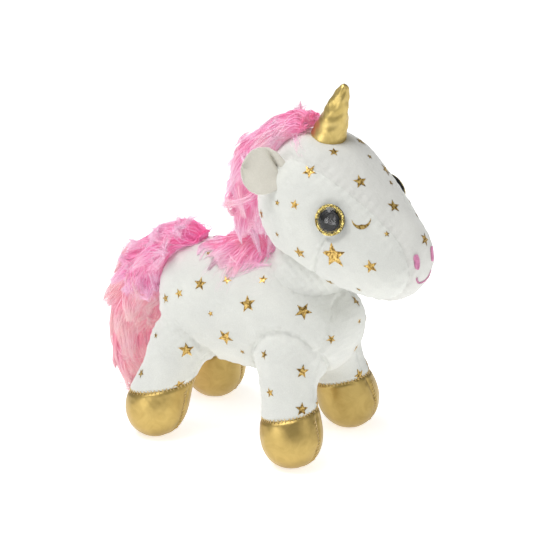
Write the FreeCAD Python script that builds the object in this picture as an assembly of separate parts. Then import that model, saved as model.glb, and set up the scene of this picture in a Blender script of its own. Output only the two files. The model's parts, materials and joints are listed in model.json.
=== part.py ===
import FreeCAD, Part
import math
import os

# A standing plush unicorn about 25 cm tall: sewn velour skins over fibre stuffing, metallic boots and
# horn, faux-fur mane and tail, folded ears and plastic safety eyes. Millimetres, +X towards the nose,
# +Y towards the unicorn's left, +Z up. The origin is on the ground under the middle of the whole toy.

V = FreeCAD.Vector
X_AXIS, Y_AXIS, Z_AXIS = V(1, 0, 0), V(0, 1, 0), V(0, 0, 1)
CENTRE = V(0, 0, 0)

# --- driving dimensions -------------------------------------------------------------------------
FABRIC = 1.2                     # thickness of the velour skins
BACKING = 1.0                    # thickness of the woven strip that carries the fur
SEWN_GAP = 0.1                   # room between a woven backing and the skin under it
GAP = 0.5                        # running gap between parts that move against each other
SECTION_POINTS = 16              # points that shape one cross-section of a stuffed body
BIG = 800.0                      # edge of a block used only to divide solids

# Torso and head stations along X: (x, top z, bottom z, half width). The ends are points (x, z).
TORSO_REAR, TORSO_FRONT = (-76.0, 92.0), (65.0, 90.0)
TORSO_STATIONS = [
    (-71, 113, 71, 20), (-58, 124, 56, 32), (-38, 128, 49, 37), (-12, 127, 47, 38),
    (12, 124, 47, 38), (31, 118, 49, 37.5), (47, 111, 54, 34), (59, 104, 66, 24),
]
HEAD_REAR, HEAD_FRONT = (0.0, 172.0), (118.5, 141.0)
HEAD_STATIONS = [
    (5, 192, 150, 22), (18, 210, 131, 34), (38, 219, 121, 39.5), (58, 214, 117, 39),
    (76, 200, 115, 36), (92, 182, 114.5, 32), (105, 167, 118, 26.5), (114, 156, 127, 18),
]

NECK = V(33, 0, 128)             # centre of the neck, which the head turns and nods about
NECK_RADIUS = 27.0
HEAD_LOOK = -5.0                 # at rest the head looks a little to the unicorn's right

# Legs: hip centre and hoof centre of the left-hand leg of each pair; the right-hand one mirrors it.
HIPS = {"front": V(28, 26, 70), "hind": V(-50, 26, 69)}
HOOVES = {"front": V(39, 38, 18.6), "hind": V(-64, 38, 18.6)}
HIP_RADIUS, SHIN_RADIUS, HOOF_RADIUS = 20.0, 18.3, 21.0
HOOF_TOP = 17.0                  # height of the boot seam above the hoof's centre
BOOT_TILT = 13.0                 # the boot seam rises towards the toe by this angle
LEG_SWING = 18.0
LEG_CLEARANCE = 1.0              # room between a leg and the torso
SHIN_PROFILE = [(0.3, 0.8), (0.55, 0.0), (0.78, 1.6)]     # shares of the leg's length, radius over the shin's
HIP_ROOM_ANGLES = (65, 40, 15)   # where the room for a swinging leg is drawn, above the hip
SHIN_ROOM_DEPTHS = (6, 20, 45)   # and below it

HORN_BASE, HORN_TIP = V(45, 0, 216), V(55.5, 0, 254.5)
HORN_RADIUS, HORN_TIP_RADIUS = 10.6, 2.0
HORN_PROFILE = [(0.35, 0.82), (0.7, 0.55)]        # shares of its length and of its root radius
HORN_CLEARANCE = 5.0             # the mane stays this far from the horn

EAR_LENGTH, EAR_WIDTH, EAR_FOOT, EAR_THICKNESS = 25.0, 30.0, 18.0, 5.0
EAR_BASE = V(26, 28.5, 196)      # middle of the left ear's sewn edge
EAR_DROOP, EAR_SWEEP = 22.0, 52.0
EAR_PROFILE = [(1.0, 0.5), (0.62, 0.88)]          # shares of its half width and of its length
EAR_FLEX = 20.0

EYE_X, EYE_Z = 70.0, 174.0       # where the eye's shank goes through the cheek
EYE_RADIUS, PUPIL_RADIUS, EYE_DOME = 10.0, 6.8, 4.6
EYE_DISC, EYE_RING = 1.0, 0.6    # thicknesses of the disc on the cheek and of the ring and pupil on it
SHANK_RADIUS, SHANK_LENGTH, WASHER_RADIUS, WASHER_THICKNESS = 2.5, 13.0, 8.0, 1.6
RIB_RADIUS, RIB_DEPTHS = 0.35, (6.0, 7.6, 9.2, 10.8)
WASHER_SLACK = 1.0               # room between the cheek's fabric and the washer

# Half widths of the blaze that runs from the crown over the nose to the chin: (x, half width)
HEAD_GUSSET = [(34, 26), (52, 27), (68, 25), (80, 21.5), (92, 17.5), (103, 14.5), (122, 13.5)]
TORSO_GUSSET = 16.0              # half width of the belly panel
BELLY_REAR, BELLY_TOP = -60.0, 92.0               # the belly panel starts at this x and stays under this z
NOSTRIL_SPACING, NOSTRIL_HALF_WIDTH, NOSTRIL_HALF_HEIGHT, NOSTRIL_Z = 17.5, 2.1, 4.6, 148.0
FACE_DEPTH = 40.0                # how far back from the nose the embroidery's outline is drawn
MOUTH_RADIUS, MOUTH_Z, MOUTH_HALF_WIDTH = 9.0, 140.0, 8.5
THREAD = 0.8                     # how far embroidery stands above the fabric

# Fur plumes along their spines, each station (x, z, half thickness, half width).
MANE = [
    (36, 222, 5, 10), (24, 225, 9, 14), (8, 216, 12, 16), (-5, 198, 13, 17), (-10, 176, 12, 16), (-7, 156, 7, 12),
]
WITHERS = [(-30, 129, 3, 7), (-20, 130, 7, 11), (-8, 130, 8, 12), (1, 128, 4, 9)]
TAIL_ROOT = V(-50, 0, 118)
TAIL_BEND = V(-94, 0, 97)
TAIL_SWAY = 18.0
TAIL_KNUCKLE = 12.0              # radius of the rounded end that the lower tail turns on
TAIL_UPPER = [(-47, 128, 3, 7), (-56, 131, 8, 12), (-70, 129, 12, 15), (-83, 119, 14, 16), (-92, 105, 13, 15)]
TAIL_LOWER = [(-95, 93, 12, 14), (-99, 76, 14, 15.5), (-102, 57, 13, 14), (-102, 38, 10, 11), (-99, 22, 4, 5)]
TAPE_HALF_WIDTH = 5.0            # of the woven strip down the middle of the tail


# --- building blocks ----------------------------------------------------------------------------
def oval(centre, across, up, half_across, half_up):
    """A closed smooth wire: an ellipse through points, in two halves that meet on the line of across."""
    points = []
    for i in range(SECTION_POINTS):
        turn = 2 * math.pi * i / SECTION_POINTS
        points.append(centre + across * (half_across * math.cos(turn)) + up * (half_up * math.sin(turn)))
    curve = Part.BSplineCurve()
    curve.interpolate(points, PeriodicFlag=True)
    first, last = curve.FirstParameter, curve.LastParameter
    half_way = (first + last) / 2
    return Part.Wire([curve.toShape(first, half_way), curve.toShape(half_way, last)])


def body_loft(rear, stations, front, inset=0.0):
    """A stuffed body lofted along X, taken in by inset all round. Its surface closes along the underside."""
    profiles = [Part.Vertex(V(rear[0] + inset, 0, rear[1]))]
    for x, top, bottom, half_width in stations:
        middle, half = (top + bottom) / 2, (top - bottom) / 2
        profiles.append(oval(V(x, 0, middle), -Z_AXIS, Y_AXIS, half - inset, half_width - inset))
    profiles.append(Part.Vertex(V(front[0] - inset, 0, front[1])))
    return Part.makeLoft(profiles, True, False)


def plume(stations):
    """A tuft of fur lofted along a spine in the XZ plane."""
    spine = [V(x, 0, z) for x, z, _, _ in stations]
    wires = []
    for i, (_, _, thick, wide) in enumerate(stations):
        along = (spine[min(i + 1, len(spine) - 1)] - spine[max(i - 1, 0)]).normalize()
        wires.append(oval(spine[i], Y_AXIS, Y_AXIS.cross(along), wide, thick))
    return Part.makeLoft(wires, True, False)


def block(x0, x1, y0, y1, z0, z1):
    return Part.makeBox(x1 - x0, y1 - y0, z1 - z0, V(x0, y0, z0))


def half_space(point, normal):
    """A large block on the side of the plane that normal points to."""
    made = Part.makeBox(BIG, BIG, BIG, V(-BIG / 2, -BIG / 2, 0))
    made.Placement = FreeCAD.Placement(point, FreeCAD.Rotation(Z_AXIS, normal))
    return made


def ball(centre, radius):
    return Part.makeSphere(radius, centre)


def mirrored(shape):
    return shape.mirror(CENTRE, Y_AXIS)


def turned(shape, centre, axis, angle):
    copy = shape.copy()
    copy.rotate(centre, axis, angle)
    return copy


def placed(shape, origin, direction):
    """Moves a shape made about +Z at the origin so that +Z points along direction."""
    shape.Placement = FreeCAD.Placement(origin, FreeCAD.Rotation(Z_AXIS, direction))
    return shape


def revolved(edges):
    """Turns a profile in the XZ plane, from axis to axis, about Z."""
    closing = Part.LineSegment(edges[-1].Vertexes[-1].Point, edges[0].Vertexes[0].Point).toShape()
    face = Part.Face(Part.Wire(edges + [closing]))
    return face.revolve(CENTRE, Z_AXIS, 360)


def spline(points, first_tangent=None, last_tangent=None):
    curve = Part.BSplineCurve()
    if first_tangent is None:
        curve.interpolate(points)
    else:
        curve.interpolate(points, InitialTangent=first_tangent, FinalTangent=last_tangent)
    return curve.toShape()


def head_surface(x, z):
    """The point on the left cheek at x and z, and the outward normal there."""
    for (xa, ta, ba, wa), (xb, tb, bb, wb) in zip(HEAD_STATIONS, HEAD_STATIONS[1:]):
        if xa <= x <= xb:
            share = (x - xa) / (xb - xa)
            top, bottom, wide = (a + (b - a) * share for a, b in ((ta, tb), (ba, bb), (wa, wb)))
            slope = (wb - wa) / (xb - xa)
    middle, half = (top + bottom) / 2, (top - bottom) / 2
    rise = (z - middle) / half
    y = wide * math.sqrt(1 - rise * rise)
    return V(x, y, z), V(-slope * y / wide, y / wide, rise * wide / half).normalize()


# --- torso, neck and head -----------------------------------------------------------------------
def leg_axis(pair):
    return (HOOVES[pair] - HIPS[pair]).normalize()


def leg_form(pair, grow=0.0):
    """One leg as a solid of revolution about its own axis: a round hip, a shin and a bulb hoof."""
    length = (HOOVES[pair] - HIPS[pair]).Length
    hip, shin, hoof = HIP_RADIUS + grow, SHIN_RADIUS + grow, HOOF_RADIUS + grow
    diagonal = hip * math.sqrt(0.5)
    arc = Part.Arc(V(0, 0, -hip), V(diagonal, 0, -diagonal), V(hip, 0, 0)).toShape()
    points = [V(hip, 0, 0)] + [V(shin + extra, 0, length * share) for share, extra in SHIN_PROFILE]
    toe = hoof * math.sqrt(0.5)
    points += [V(hoof, 0, length), V(toe, 0, length + toe), V(0, 0, length + hoof)]
    side = spline(points, V(0, 0, length), V(-length, 0, 0))
    return placed(revolved([arc, side]), HIPS[pair], leg_axis(pair))


def leg_room(pair):
    """The room that the left leg of a pair needs as it swings: round at the hip, widening down the shin."""
    axis = leg_axis(pair)
    across = X_AXIS.cross(axis).normalize()
    fore = across.cross(axis).normalize()
    spread = math.tan(math.radians(LEG_SWING))
    reach = HIP_RADIUS + LEG_CLEARANCE
    profiles = [Part.Vertex(HIPS[pair] - axis * (reach + GAP))]
    for angle in HIP_ROOM_ANGLES:
        round_hip = (reach + GAP) * math.cos(math.radians(angle))
        centre = HIPS[pair] - axis * (reach * math.sin(math.radians(angle)))
        profiles.append(oval(centre, across, fore, round_hip, round_hip))
    for below in SHIN_ROOM_DEPTHS:
        profiles.append(oval(HIPS[pair] + axis * below, across, fore, reach, reach + GAP + below * spread))
    return Part.makeLoft(profiles, True, False)


def make_torso():
    outer = body_loft(TORSO_REAR, TORSO_STATIONS, TORSO_FRONT)
    inner = body_loft(TORSO_REAR, TORSO_STATIONS, TORSO_FRONT, FABRIC)
    rooms = [ball(NECK, NECK_RADIUS + GAP)]
    for pair in HIPS:
        rooms += [leg_room(pair), mirrored(leg_room(pair))]
    stuffing = inner
    for room in rooms:
        outer, stuffing = outer.cut(room), stuffing.cut(room)
    skin = outer.cut(inner)
    strip = block(BELLY_REAR, BIG, -TORSO_GUSSET, TORSO_GUSSET, -BIG, BELLY_TOP)
    sides = skin.cut(strip)
    return {
        "belly_gusset": skin.common(strip),
        "torso_left_panel": sides.common(half_space(CENTRE, Y_AXIS)),
        "torso_right_panel": sides.common(half_space(CENTRE, -Y_AXIS)),
        "torso_stuffing": stuffing,
    }


def make_neck():
    inner = ball(NECK, NECK_RADIUS - FABRIC)
    return {"neck_cover": ball(NECK, NECK_RADIUS).cut(inner), "neck_stuffing": inner}


def eye_frame():
    """The left eye's seat on the cheek and the way that it looks."""
    return head_surface(EYE_X, EYE_Z)


def blaze_room():
    """The tall prism whose outline divides the head's middle panel from its cheeks."""
    right = [V(x, -wide, 0) for x, wide in HEAD_GUSSET]
    left = [V(x, wide, 0) for x, wide in reversed(HEAD_GUSSET)]
    sides = [spline(right), spline(left)]
    ends = [Part.LineSegment(right[-1], left[0]).toShape(), Part.LineSegment(left[-1], right[0]).toShape()]
    return Part.Face(Part.Wire([sides[0], ends[0], sides[1], ends[1]])).extrude(Z_AXIS * BIG)


def eye_holes(outset):
    """What the left eye takes out of the cheek: its shank, its washer and the seat of its disc."""
    seat, normal = eye_frame()
    shank = placed(Part.makeCylinder(SHANK_RADIUS, SHANK_LENGTH), seat - normal * SHANK_LENGTH, normal)
    washer = placed(Part.makeCylinder(WASHER_RADIUS, WASHER_THICKNESS),
                    seat - normal * (FABRIC + WASHER_THICKNESS + outset), normal)
    return [shank, washer]


def make_head():
    outer = body_loft(HEAD_REAR, HEAD_STATIONS, HEAD_FRONT)
    inner = body_loft(HEAD_REAR, HEAD_STATIONS, HEAD_FRONT, FABRIC)
    seat, normal = eye_frame()
    disc = placed(disc_shape(EYE_RADIUS, EYE_RADIUS, 0), seat, normal)
    rooms = [ball(NECK, NECK_RADIUS + GAP), ball(HORN_BASE, HORN_RADIUS + 2 * GAP), disc, mirrored(disc)]
    rooms += eye_holes(WASHER_SLACK) + [mirrored(hole) for hole in eye_holes(WASHER_SLACK)]
    stuffing = inner
    for room in rooms:
        outer, stuffing = outer.cut(room), stuffing.cut(room)
    blaze = blaze_room()
    sides = outer.cut(blaze)
    return {
        "head_gusset": outer.common(blaze).cut(inner),
        "head_left_panel": sides.common(half_space(CENTRE, Y_AXIS)).cut(inner),
        "head_right_panel": sides.common(half_space(CENTRE, -Y_AXIS)).cut(inner),
        "head_stuffing": stuffing,
    }


# --- legs ---------------------------------------------------------------------------------------
def make_leg(pair):
    """The left leg of a pair: two shin panels, two boot panels and the stuffing."""
    axis = leg_axis(pair)
    ground = half_space(CENTRE, Z_AXIS)
    outer = leg_form(pair).common(ground)
    inner = leg_form(pair, -FABRIC).common(half_space(V(0, 0, FABRIC), Z_AXIS))
    skin = outer.cut(inner)
    seam_normal = FreeCAD.Rotation(Y_AXIS, -BOOT_TILT).multVec(Z_AXIS)
    seam_point = HOOVES[pair] - axis * HOOF_TOP
    boot, shin = (skin.common(half_space(seam_point, n)) for n in (-seam_normal, seam_normal))
    outward = axis.cross(X_AXIS).normalize()
    outward = outward if outward.y > 0 else -outward
    far, near = half_space(HIPS[pair], outward), half_space(HIPS[pair], -outward)
    return {
        "outer_shin_panel": shin.common(far), "inner_shin_panel": shin.common(near),
        "outer_boot_panel": boot.common(far), "inner_boot_panel": boot.common(near),
        "stuffing": inner,
    }


# --- horn and ears ------------------------------------------------------------------------------
def horn_form(inset):
    """The horn, taken in by inset: a cone with a round root and a blunt tip."""
    axis = HORN_TIP - HORN_BASE
    length = axis.Length
    root, tip = HORN_RADIUS - inset, HORN_TIP_RADIUS - inset / 2
    diagonal = root * math.sqrt(0.5)
    arc = Part.Arc(V(0, 0, -root), V(diagonal, 0, -diagonal), V(root, 0, 0)).toShape()
    points = [V(root, 0, 0)] + [V(root * wide, 0, length * share) for share, wide in HORN_PROFILE]
    points += [V(tip, 0, length - tip - inset), V(0, 0, length - inset)]
    side = spline(points, V(0, 0, length), V(-length / 3, 0, 0))
    return placed(revolved([arc, side]), HORN_BASE, axis)


def make_horn():
    inner = horn_form(FABRIC)
    return {"horn_cover": horn_form(0).cut(inner), "horn_stuffing": inner}


def ear_directions():
    """For the left ear: along its sewn edge, out to its tip, and out of its front face."""
    edge = FreeCAD.Rotation(X_AXIS, EAR_DROOP).multVec(-Z_AXIS)
    back_and_out = V(-math.sin(math.radians(EAR_SWEEP)), math.cos(math.radians(EAR_SWEEP)), 0)
    tip = (back_and_out - edge * back_and_out.dot(edge)).normalize()
    return edge, tip, tip.cross(edge).normalize()


def ear_form():
    """The ear leaf as one slab with a rounded sewn edge on its hinge line."""
    edge, tip, face = ear_directions()
    origin = EAR_BASE + tip * (EAR_THICKNESS / 2 + GAP)

    def at(along_edge, along_tip):
        return origin + edge * along_edge + tip * along_tip - face * (EAR_THICKNESS / 2)

    foot, wide = EAR_FOOT / 2, EAR_WIDTH / 2
    points = [at(-foot, 0)] + [at(-wide * across, EAR_LENGTH * share) for across, share in EAR_PROFILE]
    points += [at(0, EAR_LENGTH)]
    points += [at(wide * across, EAR_LENGTH * share) for across, share in reversed(EAR_PROFILE)] + [at(foot, 0)]
    rim = spline(points)
    foot_line = Part.LineSegment(points[-1], points[0]).toShape()
    leaf = Part.Face(Part.Wire([rim, foot_line])).extrude(face * EAR_THICKNESS)
    roll = placed(Part.makeCylinder(EAR_THICKNESS / 2, EAR_FOOT), origin - edge * foot, edge)
    return leaf.fuse(roll).removeSplitter(), origin, face


def make_ear():
    """The front and back panels of the left ear, clear of the head as it flexes about its sewn edge."""
    form, origin, face = ear_form()
    head = body_loft(HEAD_REAR, HEAD_STATIONS, HEAD_FRONT, -GAP)
    for angle in (-EAR_FLEX, -EAR_FLEX / 2, 0, EAR_FLEX / 2, EAR_FLEX):
        form = form.cut(turned(head, origin, ear_directions()[0], angle))
    return {
        "inner_panel": form.common(half_space(origin, face)),
        "outer_panel": form.common(half_space(origin, -face)),
    }


# --- eyes and embroidery ------------------------------------------------------------------------
def disc_shape(radius, thickness, height):
    """A flat round plate about the Z axis, its underside at height."""
    return Part.makeCylinder(radius, thickness, V(0, 0, height))


def make_eye():
    """The left safety eye: a clear dome over a glitter ring and a pupil, on a ribbed shank with a washer."""
    seat, normal = eye_frame()
    sphere_radius = (EYE_RADIUS ** 2 + EYE_DOME ** 2) / (2 * EYE_DOME)
    sphere = ball(V(0, 0, EYE_DOME - sphere_radius), sphere_radius)
    pupil = disc_shape(PUPIL_RADIUS, EYE_RING, EYE_DISC)
    shank = disc_shape(SHANK_RADIUS, SHANK_LENGTH - EYE_DISC, EYE_DISC - SHANK_LENGTH)
    ribs = [Part.makeTorus(SHANK_RADIUS - RIB_RADIUS, RIB_RADIUS, V(0, 0, -depth)) for depth in RIB_DEPTHS]
    washer = disc_shape(WASHER_RADIUS, WASHER_THICKNESS, -(FABRIC + WASHER_THICKNESS + WASHER_SLACK))
    pieces = {
        "eye_dome": sphere.common(disc_shape(EYE_RADIUS, EYE_DOME, EYE_DISC + EYE_RING)),
        "eye_glitter_ring": disc_shape(EYE_RADIUS, EYE_RING, EYE_DISC).cut(pupil),
        "eye_pupil": pupil,
        "eye_shank": disc_shape(EYE_RADIUS, EYE_DISC, 0).fuse([shank] + ribs),
        "eye_washer": washer.cut(disc_shape(SHANK_RADIUS, SHANK_LENGTH, -SHANK_LENGTH)),
    }
    return {name: placed(shape, seat, normal) for name, shape in pieces.items()}


def on_face(tool, outset):
    """The layer of thread that tool covers, standing outset above the head's fabric."""
    outer = body_loft(HEAD_REAR, HEAD_STATIONS, HEAD_FRONT)
    over = body_loft(HEAD_REAR, HEAD_STATIONS, HEAD_FRONT, -outset)
    return over.common(tool).cut(outer)


def make_embroidery():
    ellipse = Part.Wire([Part.Ellipse(CENTRE, NOSTRIL_HALF_HEIGHT, NOSTRIL_HALF_WIDTH).toShape()])
    spot = Part.Face(ellipse).extrude(Z_AXIS * BIG)
    spot.Placement = FreeCAD.Placement(
        V(HEAD_FRONT[0] - FACE_DEPTH, NOSTRIL_SPACING / 2, NOSTRIL_Z), FreeCAD.Rotation(Z_AXIS, X_AXIS))
    left = on_face(spot, THREAD)
    centre = V(HEAD_FRONT[0] - FACE_DEPTH, 0, MOUTH_Z)
    smile = Part.makeCylinder(MOUTH_RADIUS, BIG, centre, X_AXIS)
    smile = smile.cut(Part.makeCylinder(MOUTH_RADIUS - 2 * THREAD, BIG, centre, X_AXIS))
    smile = smile.common(block(0, BIG, -MOUTH_HALF_WIDTH, MOUTH_HALF_WIDTH, 0, MOUTH_Z - MOUTH_RADIUS / 3))
    return {
        "nostril_stitching": Part.makeCompound([left, mirrored(left)]),
        "mouth_stitching": on_face(smile, THREAD),
    }


# --- mane and tail ------------------------------------------------------------------------------
def fur_on(stations, body, backed_body):
    """A plume on a stuffed body: the woven backing against the body and the fur over it."""
    tuft = plume(stations).cut(body)
    fur = tuft.cut(backed_body)
    return tuft.common(backed_body), fur


def make_mane():
    """Fur sewn along the crown and back of the head, and a second tuft on the withers."""
    head = body_loft(HEAD_REAR, HEAD_STATIONS, HEAD_FRONT, -SEWN_GAP)
    backed_head = body_loft(HEAD_REAR, HEAD_STATIONS, HEAD_FRONT, -BACKING)
    torso = body_loft(TORSO_REAR, TORSO_STATIONS, TORSO_FRONT, -SEWN_GAP)
    backed_torso = body_loft(TORSO_REAR, TORSO_STATIONS, TORSO_FRONT, -BACKING)
    mane_backing, mane_fur = fur_on(MANE, head, backed_head)
    withers_backing, withers_fur = fur_on(WITHERS, torso, backed_torso)
    horn_axis = (HORN_TIP - HORN_BASE).normalize()
    horn_room = placed(disc_shape(HORN_RADIUS + HORN_CLEARANCE, BIG, -BIG / 2), HORN_BASE, horn_axis)
    return {
        "mane_backing": mane_backing.cut(horn_room),
        "mane_fur": mane_fur.cut(horn_room),
        "withers_backing": withers_backing,
        "withers_fur": withers_fur,
    }


def make_tail():
    """The fur over the rump and the plume that hangs from it, each round its own woven tape."""
    torso = body_loft(TORSO_REAR, TORSO_STATIONS, TORSO_FRONT, -GAP)
    upper, lower = plume(TAIL_UPPER), plume(TAIL_LOWER).fuse(ball(TAIL_BEND, TAIL_KNUCKLE))
    for angle in (-TAIL_SWAY, -TAIL_SWAY / 2, 0, TAIL_SWAY / 2, TAIL_SWAY):
        upper = upper.cut(turned(torso, TAIL_ROOT, Z_AXIS, angle))
    upper = upper.cut(ball(TAIL_BEND, TAIL_KNUCKLE + GAP))
    pieces = {}
    plumes = (("tail_upper", upper, TAIL_UPPER[1:]), ("tail_lower", lower, TAIL_LOWER[:-1]))
    for name, fur, stations in plumes:
        tape = plume([(x, z, BACKING / 2, TAPE_HALF_WIDTH) for x, z, _, _ in stations]).common(fur)
        pieces[f"{name}_tape"] = tape
        pieces[f"{name}_fur"] = fur.cut(tape)
    return pieces


# --- assembly -----------------------------------------------------------------------------------
def both_sides(pieces, label):
    """Names the left-hand pieces and their mirror images; label says where side and piece go."""
    named = {}
    for piece, shape in pieces.items():
        named[label.format(side="left", piece=piece)] = shape
        named[label.format(side="right", piece=piece)] = mirrored(shape)
    return named


def make_head_group():
    """Everything that turns with the head, looking the way it does at rest."""
    nodes = {**make_head(), **make_horn(), **make_embroidery()}
    nodes.update(both_sides(make_ear(), "ear_{side}_{piece}"))
    nodes.update(both_sides(make_eye(), "{side}_{piece}"))
    mane = make_mane()
    nodes.update({name: mane.pop(name) for name in ("mane_backing", "mane_fur")})
    looking = {name: turned(shape, NECK, Z_AXIS, HEAD_LOOK) for name, shape in nodes.items()}
    return {**looking, **mane}


def main():
    os.makedirs("parts", exist_ok=True)
    nodes = {**make_torso(), **make_neck(), **make_head_group(), **make_tail()}
    for pair in HIPS:
        nodes.update(both_sides(make_leg(pair), pair + "_{side}_{piece}"))
    for name, shape in sorted(nodes.items()):
        print(f"{name:34s} solids {len(shape.Solids):2d} volume {shape.Volume:10.1f} valid {shape.isValid()}")
        shape.exportStep(f"parts/{name}.step")


main()
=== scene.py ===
import json
import math
from collections import namedtuple

import bmesh
import bpy
import numpy as np
from mathutils import Matrix, Vector
from mathutils.bvhtree import BVHTree


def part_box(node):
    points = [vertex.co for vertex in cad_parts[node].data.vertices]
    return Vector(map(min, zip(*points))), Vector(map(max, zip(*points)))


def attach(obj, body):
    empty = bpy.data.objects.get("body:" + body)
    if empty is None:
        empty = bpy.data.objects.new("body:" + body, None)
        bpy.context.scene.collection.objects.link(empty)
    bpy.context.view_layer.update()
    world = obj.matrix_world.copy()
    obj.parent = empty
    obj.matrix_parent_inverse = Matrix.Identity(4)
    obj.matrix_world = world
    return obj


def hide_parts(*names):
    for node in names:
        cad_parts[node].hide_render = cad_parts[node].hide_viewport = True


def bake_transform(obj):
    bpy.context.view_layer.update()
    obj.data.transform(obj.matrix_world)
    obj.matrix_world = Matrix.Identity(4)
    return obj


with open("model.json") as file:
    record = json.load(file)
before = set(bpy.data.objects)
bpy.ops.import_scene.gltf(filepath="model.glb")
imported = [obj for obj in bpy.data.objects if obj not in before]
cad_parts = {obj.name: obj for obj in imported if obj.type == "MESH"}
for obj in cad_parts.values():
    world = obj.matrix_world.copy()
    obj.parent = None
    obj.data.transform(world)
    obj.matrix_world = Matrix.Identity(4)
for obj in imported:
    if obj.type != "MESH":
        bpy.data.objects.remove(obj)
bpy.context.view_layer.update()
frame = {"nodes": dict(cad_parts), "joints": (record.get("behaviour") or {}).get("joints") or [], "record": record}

# A standing plush unicorn. Everything is in metres in the CAD frame: +X to the nose, +Y to its left.
MM = 0.001
FABRIC = 1.2 * MM                # thickness of the velour skins
SEAM_SINK = 1.1 * MM             # how deep a sewn seam sinks into the stuffing
SEAM_WIDTH = 2.0 * MM            # half width of the groove along a seam
PUCKER_PITCH = 7.0 * MM          # distance between the puckers along a seam
BODY_VOXEL = 4.0 * MM
HEAD_VOXEL = 4.0 * MM
HOOF_HEIGHT = 18.6 * MM          # the middle of a boot above the floor
CUT_SNAP = 0.08                  # a cut this near to the end of an edge goes through the vertex
PUFF_FRAMES = 20                 # length of the cloth simulations
CLOTH_STIFFNESS, CLOTH_BENDING, PRESSURE = 12, 0.3, 4.0
FOIL_LIFT = 0.16 * MM            # the print stands this far off the pile
HAIR_WIDTH, HAIR_STEPS = 0.55 * MM, 7
FUR_OFF_SKIN, FUR_OFF_FLOOR = 0.8 * MM, 1.5 * MM
SIDES = {"left": 1, "right": -1}
rng = np.random.default_rng(7)


def mm(x, y, z):
    return Vector((x, y, z)) * MM


# --- places that come from the frame ---
joints = {j["name"]: j for j in frame["joints"]}
NECK = Vector(joints["neck_turn"]["pos_m"])
NOD_AXIS = Vector(joints["head_nod"]["axis"])
LOOK = Vector((NOD_AXIS.y, -NOD_AXIS.x, 0))      # the way the head looks at rest
HORN_ROOT = Vector(joints["horn_wobble"]["pos_m"])
LEGS = [(pair, side) for pair in ("front", "hind") for side in SIDES]


def hip_of(pair, side):
    return Vector(joints[f"leg_{pair}_{side}_swing"]["pos_m"])


def hoof_of(pair, side):
    sole = next(m for m in frame["record"]["mounts"] if m["name"] == f"{pair}_{side}_sole")
    x, y, _ = sole["pos_m"]
    return Vector((x, y, HOOF_HEIGHT))


def head_frame_matrix():
    """Takes points of a head that looks straight ahead about the neck to where the head looks."""
    turn = Matrix.Rotation(math.atan2(LOOK.y, LOOK.x), 4, "Z")
    return Matrix.Translation(NECK) @ turn @ Matrix.Translation(-NECK)


HEAD_PLACE = head_frame_matrix()
HEAD_UNPLACE = HEAD_PLACE.inverted()


# --- materials ---
class Shader:
    """A material under construction: short names for the few node set-ups that are used here."""

    def __init__(self, name):
        self.material = bpy.data.materials.new(name)
        self.material.use_nodes = True
        self.tree = self.material.node_tree
        self.surface = self.tree.nodes["Principled BSDF"]
        self.place = self.tree.nodes.new("ShaderNodeTexCoord").outputs["Object"]

    def node(self, kind, **settings):
        made = self.tree.nodes.new(kind)
        for key, value in settings.items():
            setattr(made, key, value)
        return made

    def put(self, value, socket):
        """Gives a socket a number, a colour or the output of another node."""
        if isinstance(value, (int, float)):
            socket.default_value = value
        elif isinstance(value, tuple):
            socket.default_value = (*value, 1)
        else:
            self.tree.links.new(value, socket)

    def feed(self, node, **values):
        for key, value in values.items():
            self.put(value, node.inputs[key.replace("_", " ")])
        return node

    def set(self, **values):
        self.feed(self.surface, **values)

    def stretched(self, scale):
        mapping = self.feed(self.node("ShaderNodeMapping"), Vector=self.place)
        mapping.inputs["Scale"].default_value = scale
        return mapping.outputs["Vector"]

    def noise(self, scale, detail=3.0, roughness=0.55, vector=None, distortion=0.0):
        made = self.feed(self.node("ShaderNodeTexNoise"), Scale=scale, Detail=detail, Roughness=roughness,
                         Distortion=distortion, Vector=self.place if vector is None else vector)
        return made.outputs["Fac"]

    def flakes(self, scale):
        """Small cells, with a distance and a colour for each."""
        made = self.node("ShaderNodeTexVoronoi", feature="F1")
        return self.feed(made, Scale=scale, Vector=self.place).outputs

    def ramp(self, factor, stops):
        """A colour ramp; a stop may be a grey that is given as one number."""
        made = self.feed(self.node("ShaderNodeValToRGB"), Fac=factor)
        elements = made.color_ramp.elements
        while len(elements) < len(stops):
            elements.new(0.5)
        for element, (position, colour) in zip(elements, stops):
            element.position = position
            element.color = (*colour, 1) if isinstance(colour, tuple) else (colour, colour, colour, 1)
        return made.outputs["Color"]

    def mix(self, factor, a, b, kind="MIX"):
        made = self.node("ShaderNodeMix", data_type="RGBA", blend_type=kind)
        for value, index in ((factor, 0), (a, 6), (b, 7)):
            self.put(value, made.inputs[index])
        return made.outputs[2]

    def times(self, a, b):
        made = self.node("ShaderNodeMath", operation="MULTIPLY")
        self.put(a, made.inputs[0])
        self.put(b, made.inputs[1])
        return made.outputs[0]

    def bump(self, height, distance, strength=1.0, under=None):
        made = self.feed(self.node("ShaderNodeBump"), Strength=strength, Distance=distance, Height=height)
        if under is not None:
            self.feed(made, Normal=under)
        return made.outputs["Normal"]

    def attribute(self, name):
        return self.node("ShaderNodeAttribute", attribute_name=name).outputs["Fac"]


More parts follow.
